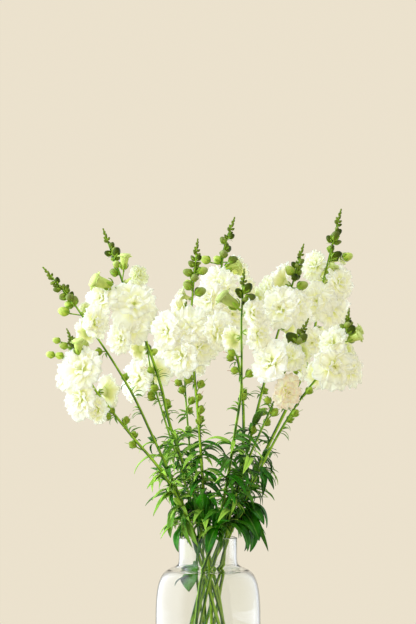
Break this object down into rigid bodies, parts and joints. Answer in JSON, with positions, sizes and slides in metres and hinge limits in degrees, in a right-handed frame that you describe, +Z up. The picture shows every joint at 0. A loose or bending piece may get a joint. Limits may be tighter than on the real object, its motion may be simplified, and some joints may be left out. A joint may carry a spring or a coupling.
{
  "type": "snapdragon in vase",
  "caption": "White snapdragon stems with buds, seed pods and narrow leaves, fanned out of a clear glass bottle vase with a short neck.",
  "frame": {"origin": "centre of the vase's flat underside", "axes": "+Z up along the vase's axis, -Y the front that the picture shows, +X to the right in it"},
  "size_m": [0.3619, 0.2757, 0.589],
  "materials": {
    "clear_glass": "clear polished glass",
    "water": "clear still water",
    "green": "fresh green stem, leaf, pod and bud",
    "petals": "soft white petal with a yellow-green throat"
  },
  "bodies": {
    "root": {"vase": "clear_glass", "water": "water", "stem_front_left": "green", "flowers_front_left": "petals", "stem_far_left": "green", "flowers_far_left": "petals", "stem_left": "green", "flowers_left": "petals", "stem_back_left": "green", "flowers_back_left": "petals", "stem_middle_left": "green", "flowers_middle_left": "petals", "stem_back": "green", "flowers_back": "petals", "stem_middle": "green", "flowers_middle": "petals", "stem_front": "green", "flowers_front": "petals", "stem_right": "green", "flowers_right": "petals", "stem_far_right": "green", "flowers_far_right": "petals", "stem_front_right": "green", "flowers_front_right": "petals", "stem_right_low": "green", "flowers_right_low": "petals"}
  },
  "joints": []
}
